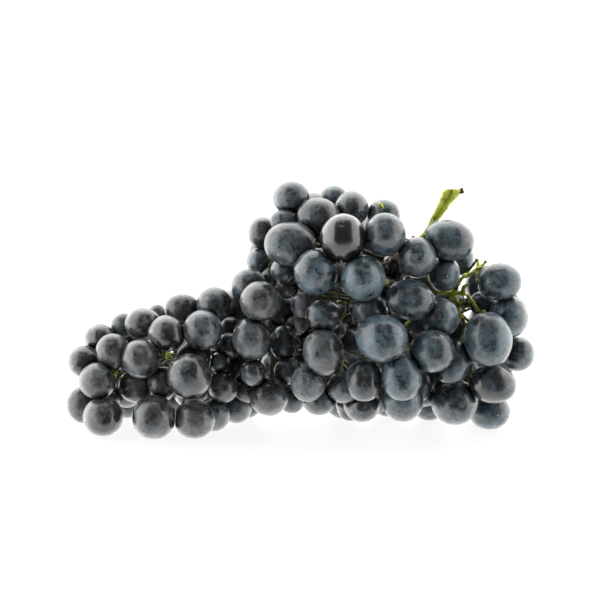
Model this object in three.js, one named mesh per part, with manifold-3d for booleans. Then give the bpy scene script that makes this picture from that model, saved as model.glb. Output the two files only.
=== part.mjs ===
// A bunch of black table grapes lying on a table: one green stalk that branches through the bunch, and the
// berries that press against each other around it, in four clusters. Millimetres, +Z up, +X along the bunch
// towards the end with the stalk, origin on the table under the middle of the bunch.
import * as THREE from "three";
import { mergeVertices } from "three/addons/utils/BufferGeometryUtils.js";
import Module from "manifold-3d";

const wasm = await Module();
wasm.setup();

// Driving dimensions
const berryStretch = 1.16; // a berry's length over its width, where only its width is seen
const pressIn = 1.35; // how far two berries that are grown together in a cluster press into each other
const clusterGap = 0.3; // clear space between one cluster and the next, and between berries and stalk
const tableFlat = 0.5; // how much the weight flattens a berry on the table
const tableReach = 1.1; // a berry that starts this close to the table lies on it
const berryFacets = { around: 7, along: 5, swell: 1.05 }; // corners outside the true skin, faces inside it
const farFacets = { around: 6, along: 5, swell: 1.06 };
const heartFacets = { around: 6, along: 4, swell: 1.08 };
const tableFacets = { around: 8, along: 6, swell: 1.03 }; // on the table, where a coarse one would hang clear
const farSideShift = 8; // the far side's berries lie half a berry along from the near side's
const farSideWander = 3;
const farSideDrop = { tail: 2, waist: -3.5, shoulder: 2, wing: 2 }; // lower than the near side's, as seen
const heartTries = 3000; // places that are tried for berries between the near side and the far side
const heartWidth = 16;

// The bunch is laid out as it is seen from the front, by an eye this far away and tilted down this much
const eyeDistance = 1100;
const eyeTilt = THREE.MathUtils.degToRad(8);
const eyeTargetHeight = 54.7;

// Settling
const settleRounds = 460;
const linkRounds = [180, 220, 260, 300]; // when the pairs that hold a cluster together are chosen again
const looseRound = 330; // from here on the berries may leave the places that they are seen in a little
const anchorPull = { firm: 0.6, loose: 0.12 };
const depthPull = 0.02;
const restPull = { firm: 0.03, loose: 0 };

// One row for each berry on the near side, as it is seen: right of the middle, above the middle, width,
// length, lean of its length from level in degrees, and how far back it lies.
const nearSide = {
  tail: [
    [-94.4, -45.1, 14.6, 15.9, 90, -6],
    [-84.7, -50.1, 17.2, 17.6, 0, -24],
    [-87.7, -34.2, 15.9, 16.3, 0, -22],
    [-94.0, -26.7, 13.8, 13.8, 0, -8],
    [-86.6, -16.3, 13.3, 13.8, 0, 2],
    [-80.6, -21.3, 15.0, 15.5, 90, -13],
    [-69.0, -25.2, 16.8, 17.2, 90, -26],
    [-67.9, -10.3, 14.2, 15.9, 0, -10],
    [-75.0, -11.0, 11.2, 12.0, 90, 6],
    [-61.7, -6.7, 8.6, 10.3, 90, 12],
    [-57.8, -13.8, 15.9, 16.3, 0, -22],
    [-51.4, -3.7, 12.9, 15.5, 0, -8],
    [-41.3, -12.9, 17.2, 17.6, 90, -26],
    [-47.9, -32.7, 19.4, 19.8, 90, -34],
    [-58.7, -35.0, 12.5, 15.0, 90, -17],
    [-70.3, -36.8, 14.6, 17.2, 0, -12],
    [-75.0, -39.8, 12.5, 12.9, 90, 6],
    [-81.1, -41.9, 10.3, 10.3, 0, 4],
    [-63.4, -50.5, 19.4, 19.4, 20, -32],
    [-45.4, -50.7, 16.8, 18.1, 0, -27],
    [-37.6, -49.2, 14.2, 15.0, 90, -8],
    [-32.5, -37.2, 13.3, 14.2, 90, -20],
    [-36.3, -26.0, 8.2, 9.0, 90, -20],
    [-36.3, -1.5, 15.5, 15.5, 0, -12],
    [-29.9, -19.1, 12.0, 12.0, 90, -6],
  ],
  waist: [
    [-27.7, -45.8, 13.3, 14.6, 90, 0],
    [-21.3, -16.6, 16.8, 18.5, 100, -26],
    [-21.1, -31.2, 11.2, 12.0, 90, -28],
    [-23.0, -38.9, 11.2, 11.2, 0, -10],
    [-12.7, -41.7, 17.2, 18.1, 90, -16],
    [-6.7, -18.3, 12.9, 15.5, 90, -12],
    [-5.4, -30.3, 12.0, 12.0, 0, -14],
    [0.2, -10.5, 6.0, 9.5, 90, -20],
    [-0.6, -0.6, 9.5, 11.2, 90, -22],
    [-17.0, 0.9, 17.6, 17.6, 0, -27],
    [-21.7, 5.8, 15.9, 16.3, 90, -10],
    [2.8, -35.9, 15.5, 15.9, 90, -32],
    [10.3, -23.2, 18.1, 20.6, 110, -42],
    [11.2, -5.6, 14.2, 16.8, 0, -32],
    [18.3, -37.2, 13.8, 14.6, 0, -26],
    [8.4, -42.4, 14.6, 15.0, 0, -16],
    [-3.7, -42.8, 11.2, 12.0, 90, 0],
    [21.3, -44.9, 12.0, 14.2, 90, -6],
    [26.7, -44.7, 15.5, 15.9, 0, -20],
    [27.7, -34.2, 15.9, 18.9, 90, -36],
  ],
  shoulder: [
    [-17.4, 16.1, 12.0, 12.0, 0, 4],
    [-7.1, 12.3, 12.0, 12.0, 0, -12],
    [-5.4, 5.4, 10.3, 10.3, 0, -8],
    [-3.7, 44.1, 14.6, 15.9, 0, -6],
    [-16.1, 29.9, 12.5, 14.2, 90, 2],
    [-7.1, 33.8, 10.3, 13.8, 0, -10],
    [-5.4, 25.2, 19.4, 23.2, 0, -29],
    [7.5, 36.5, 16.8, 19.4, -10, -18],
    [14.0, 44.1, 11.2, 12.0, 0, 4],
    [22.1, 40.2, 15.0, 15.0, 0, -8],
    [17.0, 26.7, 20.2, 21.5, 90, -38],
    [35.7, 29.9, 18.1, 18.9, 90, -34],
    [37.6, 36.5, 13.3, 14.6, 0, -8],
    [6.9, 11.4, 18.9, 20.2, 100, -36],
    [26.9, 10.1, 19.4, 20.2, 110, -38],
    [28.2, -4.5, 16.3, 16.3, 0, -24],
    [40.6, 14.0, 12.0, 12.9, 90, -16],
    [51.4, 16.6, 16.8, 17.6, 90, -32],
    [64.9, 26.7, 17.6, 21.9, -10, -24],
    [69.0, 17.8, 11.2, 14.6, 90, -6],
    [61.7, 11.0, 13.8, 15.5, 90, -20],
  ],
  wing: [
    [47.1, 0.4, 17.6, 21.9, -5, -34],
    [60.0, -7.1, 16.8, 16.8, 90, -24],
    [51.4, -10.5, 12.0, 12.0, 0, -16],
    [34.4, -15.3, 20.6, 22.8, -10, -44],
    [43.6, -33.8, 17.6, 21.1, 95, -40],
    [44.3, -43.2, 17.6, 18.5, 90, -24],
    [51.0, -36.8, 10.3, 13.8, 90, -22],
    [54.0, -40.6, 9.5, 9.5, 0, -10],
    [56.5, -22.1, 18.5, 19.8, -15, -40],
    [65.8, -26.9, 15.0, 19.8, 65, -28],
    [80.2, -17.2, 21.1, 24.5, 98, -36],
    [65.6, -44.1, 19.8, 20.2, 0, -18],
    [83.2, -35.5, 16.8, 21.1, -8, -26],
    [81.3, -47.7, 15.9, 17.6, 0, -8],
    [93.7, -23.0, 13.8, 15.0, 90, -8],
    [90.5, -8.0, 17.6, 18.5, 80, -16],
    [85.4, 8.8, 16.3, 19.4, 0, -22],
    [78.9, -1.1, 11.2, 12.0, 0, -10],
    [74.6, -0.2, 4.3, 4.7, 90, -4],
  ],
};

// Berries further in, which show only in the gaps between those in front, in the same way
const glimpsed = {
  tail: [
    [-47.1, -22.4, 14.5, 15.5, 0, 8],
    [-30.0, -12.5, 10.0, 11.0, 90, -4],
  ],
  waist: [
    [19.6, -20.0, 15.0, 16.0, 90, 4],
    [-28.3, -28.2, 12.0, 13.0, 0, -4],
    [-7.1, -4.1, 12.5, 13.5, 0, 2],
    [10.1, 1.6, 11.0, 12.0, 0, -8],
  ],
  shoulder: [
    [-12.7, 9.5, 10.0, 11.0, 90, -4],
    [37.0, 6.3, 11.0, 12.0, 0, -14],
  ],
  wing: [
    [61.5, -2.4, 14.0, 15.0, 90, 4],
    [66.0, -14.0, 14.0, 15.0, 0, 0],
    [57.4, -33.3, 11.0, 12.0, 0, -10],
    [44.5, -9.5, 10.5, 11.5, 0, -12],
  ],
};

// The stalk and its branches: the points that each one runs through, as they are seen from the front, each
// with how far it is right of the middle, above the middle, and back
const stalkRoute = [
  [65.8, 47.7, -10], [61.9, 41.9, -10], [58.9, 36.8, -10], [56.1, 32.5, -9], [51.8, 25.6, -8],
  [46.7, 16.6, -4], [39.3, 6.7, 0], [27.7, -3.2, 2], [8.4, -12.7, 0], [-11.0, -19.1, 0],
  [-28.2, -21.3, 0], [-47.5, -23.9, -2], [-64.7, -27.3, -5], [-81.1, -33.3, -7],
];
const branchRoutes = [
  [[44.9, 14.0, -4], [27.7, 20.9, -6], [7.5, 23.4, -6], [-5.8, 26.0, -3]], // up over the shoulder
  [[44.9, 14.0, -4], [30.7, 19.1, 12], [15.3, 23.4, 20]],
  [[42.8, 11.0, -2], [30.7, 2.8, -14], [19.1, -0.6, -20]],
  // the twigs that show in the gap of the wing
  [
    [50.1, 22.6, -6], [58.3, 4.5, -9], [65.1, 3.2, -13], [70.7, 2.8, -15], [74.6, -1.5, -16],
    [77.2, -5.8, -17],
  ],
  [[65.1, 3.2, -13], [69.9, 10.1, -14], [72.9, 11.4, -14], [78.0, 14.8, -15], [79.8, 17.0, -15]],
  [[65.6, 3.2, -13], [69.0, -6.2, -14], [71.2, -10.5, -14]],
  [[76.8, 14.0, -15], [75.9, 17.4, -14]],
  [[69.9, 2.8, -15], [70.3, 5.8, -16], [72.5, 7.1, -17]],
  [[48.4, 19.1, -5], [60.0, 4.5, 8], [69.4, -10.5, 13], [74.6, -24.7, 10]], // out along the wing, behind
  [[29.9, -1.5, 2], [40.6, -12.7, -12], [49.7, -23.0, -18]],
  [[29.9, -1.5, 2], [42.8, -12.7, 15], [49.2, -23.0, 19]],
  [[7.5, -13.1, 0], [14.4, -22.1, -13], [14.0, -30.7, -18]], // down in the waist
  [[7.5, -13.1, 0], [9.2, -22.1, 13], [7.5, -29.9, 18]],
  [[53.5, 28.2, -8], [48.8, 25.6, -11], [44.1, 25.6, -12]], // a short side twig with a dry stub
];
// How thick they are: share of the way along, and radius
const stalkGirth = [
  [0, 3.3], [0.03, 2.6], [0.06, 2.1], [0.09, 1.5], [0.13, 1.1], [0.22, 1.3], [0.3, 1.6], [0.42, 1.6],
  [0.5, 1.6], [0.6, 1.5], [0.7, 1.4], [0.8, 1.2], [0.9, 1.1], [1, 0.9],
];
const branchRadius = { root: 1.4, tip: 0.85 };
const branchStep = 7; // the longest straight stretch of a branch
const pedicelGirth = [[0, 0.4], [1, 1.05]];
const facetTolerance = 0.06;

const up = new THREE.Vector3(0, 0, 1);
const right = new THREE.Vector3(1, 0, 0);
const forward = new THREE.Vector3(0, Math.cos(eyeTilt), -Math.sin(eyeTilt));
const pictureUp = new THREE.Vector3(0, Math.sin(eyeTilt), Math.cos(eyeTilt));
const eyeTarget = new THREE.Vector3(0, 0, eyeTargetHeight);
const eye = eyeTarget.clone().addScaledVector(forward, -eyeDistance);

// The point that lies this far back on the line of sight through a point of the picture
function onSightLine(across, above, back) {
  const seen = eyeTarget.clone().addScaledVector(right, across).addScaledVector(pictureUp, above);
  const sight = seen.sub(eye);
  return eye.clone().addScaledVector(sight, (back - eye.y) / sight.y);
}

// A number from -1 to 1 that is spread evenly over the indices and is the same every time
function scatter(index, stream) {
  const step = (index + 1) * Math.sqrt([2, 3, 5, 7, 11, 13][stream]);
  return 2 * (step - Math.floor(step)) - 1;
}

// Where a berry's length points: along its lean as far as it looks long, and for the rest at the eye or away
function lengthDirection(width, length, lean, towardsEye) {
  const share = ((length / width) ** 2 - 1) / (berryStretch ** 2 - 1);
  const inPicture = Math.sqrt(THREE.MathUtils.clamp(share, 0, 1));
  const angle = THREE.MathUtils.degToRad(lean);
  return new THREE.Vector3()
    .addScaledVector(right, Math.cos(angle) * inPicture)
    .addScaledVector(pictureUp, Math.sin(angle) * inPicture)
    .addScaledVector(forward, -towardsEye * Math.sqrt(1 - inPicture ** 2));
}

function rowsOf(table, facets) {
  const berries = [];
  for (const [cluster, rows] of Object.entries(table)) {
    for (const [across, above, seenWidth, seenLength, lean, back] of rows) {
      const centre = onSightLine(across, above, back);
      const nearness = centre.distanceTo(eye) / eyeDistance;
      const width = seenWidth * nearness;
      const length = seenLength * nearness;
      berries.push({
        cluster,
        across,
        above,
        anchored: true,
        facets,
        width,
        length: Math.max(length, width * berryStretch),
        axis: lengthDirection(width, length, lean, 1),
        centre,
      });
    }
  }
  return berries;
}

function growBerries() {
  const berries = rowsOf(nearSide, berryFacets);
  const near = berries.length;
  for (let index = 0; index < near; index++) {
    const front = berries[index];
    if (front.centre.y > -12 || front.width < 12) continue;
    const shift = farSideShift * Math.sign(-front.across - 20);
    const across = front.across + shift + farSideWander * scatter(index, 1);
    const above = front.above - farSideDrop[front.cluster] + farSideWander * scatter(index, 2);
    const width = 16.6 + 1.8 * scatter(index, 3);
    berries.push({
      cluster: front.cluster,
      across,
      above,
      anchored: false,
      facets: farFacets,
      width,
      length: width * berryStretch,
      axis: lengthDirection(width, width * 1.07, 180 * scatter(index, 4), -1),
      centre: onSightLine(across, above, -front.centre.y - 3 + farSideWander * scatter(index, 5)),
    });
  }
  return berries.concat(rowsOf(glimpsed, heartFacets));
}

// Whether a round of this radius is hidden behind the near side's berries
function isHidden(berries, across, above, radius) {
  return [0, 1, 2, 3, 4, 5, 6, 7].every((k) => {
    const x = across + radius * Math.cos((k * Math.PI) / 4);
    const y = above + radius * Math.sin((k * Math.PI) / 4);
    return berries.some((b) => b.anchored && Math.hypot(b.across - x, b.above - y) < 0.52 * b.width);
  });
}

// Fills the heart of the bunch with berries where they fit between the near side, the far side and the stalk
function fillHeart(berries, stalkPoints) {
  const near = berries.filter((b) => b.anchored);
  for (let k = 0; k < heartTries; k++) {
    const across = 100 * scatter(k, 0);
    const above = 55 * scatter(k, 1);
    const centre = onSightLine(across, above, 18 * scatter(k, 2));
    const radius = heartWidth / 2;
    if (centre.z < radius || !isHidden(near, across, above, 0.85 * radius)) continue;
    if (stalkPoints.some(({ point }) => point.distanceTo(centre) < radius + 2)) continue;
    if (berries.some((b) => b.centre.distanceTo(centre) < radius + b.width / 2)) continue;
    const farFrom = (berry) => berry.centre.distanceTo(centre);
    const nearest = near.reduce((a, b) => (farFrom(a) < farFrom(b) ? a : b));
    const width = heartWidth + 1.2 * scatter(k, 3);
    berries.push({
      cluster: nearest.cluster,
      across,
      above,
      anchored: false,
      facets: heartFacets,
      width,
      length: width * berryStretch,
      axis: lengthDirection(width, width * 1.07, 180 * scatter(k, 4), 1),
      centre,
    });
  }
}

// How far a berry's skin is from its centre in a direction
function reach(berry, direction) {
  const along = berry.axis.dot(direction) ** 2;
  return 1 / Math.sqrt(along / (berry.length / 2) ** 2 + (1 - along) / (berry.width / 2) ** 2);
}

// How high a berry's centre is when it rests on the table
function restHeight(berry) {
  const along = berry.axis.z ** 2;
  return Math.sqrt(along * (berry.length / 2) ** 2 + (1 - along) * (berry.width / 2) ** 2) - tableFlat;
}

// The pairs that hold a cluster together: each berry in turn joins the cluster by its narrowest gap
function linkClusters(berries) {
  const links = new Set();
  for (const cluster of Object.keys(nearSide)) {
    const members = berries.map((b, i) => i).filter((i) => berries[i].cluster === cluster);
    const joined = [members[0]];
    const waiting = new Set(members.slice(1));
    while (waiting.size) {
      let best = { gap: Infinity };
      for (const i of joined) {
        for (const j of waiting) {
          const between = berries[j].centre.clone().sub(berries[i].centre);
          const distance = between.length();
          between.divideScalar(distance);
          const gap = distance - reach(berries[i], between) - reach(berries[j], between);
          if (gap < best.gap) best = { gap, i, j };
        }
      }
      links.add(Math.min(best.i, best.j) * berries.length + Math.max(best.i, best.j));
      joined.push(best.j);
      waiting.delete(best.j);
    }
  }
  return links;
}

// Pushes the berries apart until they only press on each other, and keeps them off the stalk and the table
function settle(berries, stalkPoints) {
  let links = new Set();
  const rests = berries.map((b) => b.centre.clone());
  const low = berries.filter((b) => b.centre.z < restHeight(b) + tableReach);
  for (const berry of low) berry.facets = tableFacets;
  for (let round = 0; round < settleRounds; round++) {
    if (linkRounds.includes(round)) links = linkClusters(berries);
    const hold = round < looseRound ? "firm" : "loose";
    const moves = berries.map(() => new THREE.Vector3());
    for (let i = 0; i < berries.length; i++) {
      for (let j = i + 1; j < berries.length; j++) {
        const between = berries[j].centre.clone().sub(berries[i].centre);
        const distance = between.length();
        if (distance > 32) continue;
        between.divideScalar(distance);
        const linked = links.has(i * berries.length + j);
        const apart = linked ? -pressIn : berries[i].cluster === berries[j].cluster ? 0 : clusterGap;
        const short = reach(berries[i], between) + reach(berries[j], between) + apart - distance;
        if (short < 0 && !linked) continue;
        const share = short < 0 ? 0.45 : 0.3;
        moves[i].addScaledVector(between, -share * short);
        moves[j].addScaledVector(between, share * short);
      }
      for (const { point, radius } of stalkPoints) {
        const away = berries[i].centre.clone().sub(point);
        const distance = away.length();
        away.divideScalar(distance);
        const short = reach(berries[i], away) + radius + clusterGap - distance;
        if (short > 0) moves[i].addScaledVector(away, 0.3 * short);
      }
    }
    berries.forEach((berry, i) => {
      const { centre } = berry;
      centre.add(moves[i]);
      if (berry.anchored) {
        const seen = onSightLine(berry.across, berry.above, centre.y);
        centre.x += anchorPull[hold] * (seen.x - centre.x);
        centre.z += anchorPull[hold] * (seen.z - centre.z);
        centre.y += depthPull * (rests[i].y - centre.y);
      } else {
        centre.addScaledVector(rests[i].clone().sub(centre), restPull[hold]);
      }
      const lowest = restHeight(berry);
      centre.z = low.includes(berry) ? lowest : Math.max(centre.z, lowest);
    });
  }
}

const curveThrough = (route) =>
  new THREE.CatmullRomCurve3(route.map((p) => onSightLine(...p)), false, "centripetal");

// A stem along a curve, closed at both ends, with its radius given at shares of the way and grown by a gap
function stem(curve, girth, sides, grow) {
  const along = curve.getPointAt(1).sub(curve.getPointAt(0)).toArray().map(Math.abs);
  const least = along.indexOf(Math.min(...along));
  const reference = new THREE.Vector3().setComponent(least, 1);
  const outline = new THREE.Shape();
  for (let k = 0; k < sides; k++) {
    const turn = (2 * Math.PI * k) / sides;
    if (k === 0) outline.moveTo(Math.cos(turn), Math.sin(turn));
    else outline.lineTo(Math.cos(turn), Math.sin(turn));
  }
  const steps = girth.length - 1;
  const geometry = new THREE.ExtrudeGeometry(outline, { depth: steps, steps, bevelEnabled: false });
  const position = geometry.getAttribute("position");
  for (let v = 0; v < position.count; v++) {
    const [t, radius] = girth[Math.round(position.getZ(v))];
    const tangent = curve.getTangentAt(t);
    const side = new THREE.Vector3().crossVectors(tangent, reference).normalize();
    const over = new THREE.Vector3().crossVectors(side, tangent);
    const at = curve.getPointAt(t);
    at.addScaledVector(side, position.getX(v) * (radius + grow));
    at.addScaledVector(over, position.getY(v) * (radius + grow));
    position.setXYZ(v, at.x, at.y, at.z);
  }
  return geometry;
}

function solidOf(geometry) {
  const bare = new THREE.BufferGeometry().setAttribute("position", geometry.getAttribute("position"));
  const merged = mergeVertices(bare.setIndex(geometry.getIndex()), 1e-4);
  const triangles = new Uint32Array(merged.index.array);
  const corners = new Float32Array(merged.attributes.position.array);
  const mesh = { numProp: 3, vertProperties: corners, triVerts: triangles };
  const solid = new wasm.Manifold(new wasm.Mesh(mesh));
  if (solid.volume() > 0) return solid;
  for (let t = 0; t < triangles.length; t += 3) {
    [triangles[t], triangles[t + 1]] = [triangles[t + 1], triangles[t]];
  }
  return new wasm.Manifold(new wasm.Mesh(mesh));
}

const joinAll = (solids) => solids.reduce((whole, piece) => whole.add(piece));
const largestOf = (solid) => solid.decompose().reduce((a, b) => (a.volume() > b.volume() ? a : b));

const stalk = curveThrough(stalkRoute);
const branches = branchRoutes.map(curveThrough);
const stalkPoints = [];
for (const curve of [stalk, ...branches]) {
  for (const point of curve.getSpacedPoints(Math.ceil(curve.getLength() / 3))) {
    stalkPoints.push({ point, radius: 1.4, taken: 0 });
  }
}

const berries = growBerries();
fillHeart(berries, stalkPoints);
settle(berries, stalkPoints);

// Where a berry's own stem leaves the stalk: the point that it reaches most freely and that few others use
function pedicelRoot(berry) {
  let best = { cost: Infinity };
  for (const stalkPoint of stalkPoints) {
    const { point, taken } = stalkPoint;
    const away = berry.centre.clone().sub(point);
    const distance = away.length();
    const skinAt = 1 - reach(berry, away.clone().normalize()) / distance;
    let cost = distance + 5 * taken;
    for (const share of [0.25, 0.5, 0.75]) {
      const on = point.clone().addScaledVector(away, share * skinAt);
      for (const other of berries) {
        if (other === berry) continue;
        const out = on.clone().sub(other.centre);
        const depth = reach(other, out.clone().normalize()) + 0.8 - out.length();
        if (depth > 0) cost += 2 * depth;
      }
    }
    if (cost < best.cost) best = { cost, stalkPoint };
  }
  best.stalkPoint.taken += 1;
  return best.stalkPoint.point;
}

for (const berry of berries) {
  berry.root = pedicelRoot(berry);
  const outward = berry.centre.clone().sub(berry.root).normalize();
  if (berry.axis.dot(outward) < 0) berry.axis.negate();
}

// A branch's radii, with a ring wherever it may bend
function branchGirth(branch) {
  const steps = Math.max(2, Math.round(branch.getLength() / branchStep));
  const shares = [...Array(steps + 1).keys()].map((k) => k / steps);
  return shares.map((t) => [t, THREE.MathUtils.lerp(branchRadius.root, branchRadius.tip, t)]);
}

// The whole stalk as one solid, or, grown by the gap, as the space that it needs
function stalkSolid(grow) {
  const pieces = [solidOf(stem(stalk, stalkGirth, 6, grow))];
  for (const branch of branches) pieces.push(solidOf(stem(branch, branchGirth(branch), 4, grow)));
  for (const berry of berries) {
    const inward = berry.root.clone().sub(berry.centre).normalize();
    const clear = reach(berry, inward) * berry.facets.swell + clusterGap - grow;
    const end = berry.centre.clone().addScaledVector(inward, clear);
    pieces.push(solidOf(stem(new THREE.LineCurve3(berry.root, end), pedicelGirth, 3, grow)));
  }
  return largestOf(joinAll(pieces).simplify(facetTolerance));
}

// One berry, flat where it lies on the table and cut back where it would touch another cluster's berry
function berrySolid(berry) {
  const { around, along, swell } = berry.facets;
  const geometry = new THREE.SphereGeometry(swell, around, along).rotateX(Math.PI / 2);
  const turn = new THREE.Quaternion().setFromUnitVectors(up, berry.axis.clone().normalize());
  const size = new THREE.Vector3(berry.width / 2, berry.width / 2, berry.length / 2);
  geometry.applyMatrix4(new THREE.Matrix4().compose(berry.centre, turn, size));
  let solid = solidOf(geometry).trimByPlane([0, 0, 1], 0);
  for (const other of berries) {
    if (other.cluster === berry.cluster) continue;
    const between = other.centre.clone().sub(berry.centre);
    const distance = between.length();
    between.divideScalar(distance);
    const mine = reach(berry, between);
    const theirs = reach(other, between);
    if (distance > mine * berry.facets.swell + theirs * other.facets.swell + clusterGap) continue;
    const cut = between.dot(berry.centre) + (distance + mine - theirs) / 2 - clusterGap / 2;
    solid = solid.trimByPlane([-between.x, -between.y, -between.z], -cut);
  }
  return solid;
}

function meshOf(solid, name, material) {
  const { vertProperties, triVerts, numProp } = solid.getMesh();
  const geometry = new THREE.BufferGeometry();
  geometry.setAttribute("position", new THREE.BufferAttribute(Float32Array.from(vertProperties), numProp));
  geometry.setIndex(new THREE.BufferAttribute(triVerts, 1));
  const mesh = new THREE.Mesh(geometry, material);
  mesh.name = name;
  return mesh;
}

const skin = new THREE.MeshStandardMaterial({ name: "grape_skin", color: 0x2b2f3a, roughness: 0.45 });
const green = new THREE.MeshStandardMaterial({ name: "green_stalk", color: 0x8fa53a, roughness: 0.6 });

const bunch = new THREE.Group();
const stalkRoom = stalkSolid(clusterGap);
for (const cluster of Object.keys(nearSide)) {
  const whole = joinAll(berries.filter((b) => b.cluster === cluster).map(berrySolid));
  const body = largestOf(whole.subtract(stalkRoom).simplify(facetTolerance));
  bunch.add(meshOf(body, `berries_${cluster}`, skin));
}
bunch.add(meshOf(stalkSolid(0), "stalk", green));

const box = new THREE.Box3().setFromObject(bunch);
bunch.position.set(-(box.min.x + box.max.x) / 2, -(box.min.y + box.max.y) / 2, 0);

export default bunch;
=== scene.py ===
import math

import bpy
import numpy as np
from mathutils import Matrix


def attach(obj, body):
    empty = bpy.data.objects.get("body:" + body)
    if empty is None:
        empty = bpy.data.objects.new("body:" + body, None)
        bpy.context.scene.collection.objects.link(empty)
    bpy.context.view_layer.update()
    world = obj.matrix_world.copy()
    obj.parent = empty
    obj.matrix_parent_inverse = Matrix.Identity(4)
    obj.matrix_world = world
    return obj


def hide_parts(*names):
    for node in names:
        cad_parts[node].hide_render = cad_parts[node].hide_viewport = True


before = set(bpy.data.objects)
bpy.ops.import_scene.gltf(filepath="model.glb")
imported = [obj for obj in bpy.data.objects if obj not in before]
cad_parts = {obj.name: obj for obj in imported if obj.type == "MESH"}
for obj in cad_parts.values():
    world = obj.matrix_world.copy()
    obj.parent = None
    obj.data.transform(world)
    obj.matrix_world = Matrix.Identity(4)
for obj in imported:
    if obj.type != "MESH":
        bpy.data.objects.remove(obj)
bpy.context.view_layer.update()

# What places the berries: the same values as the solids are grown from
bunch = {
    "berryStretch": 1.16,  # a berry's length over its width, where only its width is seen
    "pressIn": 1.35,  # how far two berries that are grown together press into each other
    "clusterGap": 0.3,  # between berries of two clusters, and between a berry and the stalk
    "tableFlat": 0.5,  # how much the weight flattens a berry on the table
    "tableReach": 1.1,  # a berry that starts this close to the table lies on it
    "hiddenStretch": 1.07,  # a berry's length over its width as it would look, where it is hidden
    "mirrored": {"forward": 12, "width": 12},  # how far forward and how wide a berry with one behind it is
    "farSideShift": 8,  # along the bunch
    "farSideWander": 3,
    "farSideDrop": {"tail": 2, "waist": -3.5, "shoulder": 2, "wing": 2},  # lower than the near side's
    "farSideWidth": [16.6, 1.8],  # its middle and its spread
    "farSideLess": 3,  # the far side lies this much closer to the stalk than the near side
    "narrowestAt": -20,  # the far side's berries shift away from here
    "glimpsedInner": 0.6,  # how far inside the bunch a berry counts, for its painted shade and its duller, rougher skin
    "shotInner": 0.8,
    "heartTries": 3000,
    "heartReach": [100, 55, 18],  # along, up and back
    "heartWidth": 16,
    "heartSpread": 1.2,
    "heartOutline": 0.85,  # the share of a berry's radius that the near side has to hide
    "heartHidden": 0.52,  # the share of a berry's width within which it hides what is behind it
    "heartStalkGap": 2,
    "eyeDistance": 1100,  # the bunch is laid out as this eye sees it
    "eyeTilt": 8,
    "eyeTargetHeight": 54.7,
    "settleRounds": 460,
    "linkRounds": [180, 220, 260, 300],
    "looseRound": 330,
    "anchorPull": [0.6, 0.12],  # before and after the loose round
    "depthPull": 0.02,
    "restPull": [0.03, 0],
    "pushApart": 0.3,  # the share of an overlap that each berry of a pair moves in one round
    "pullTogether": 0.45,
    "pairReach": 32,
    "stalkRadius": 1.4,
    "shift": [0.7052040100097656, 2.7774524688720703, 0],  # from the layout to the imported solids' frame
}

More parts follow.
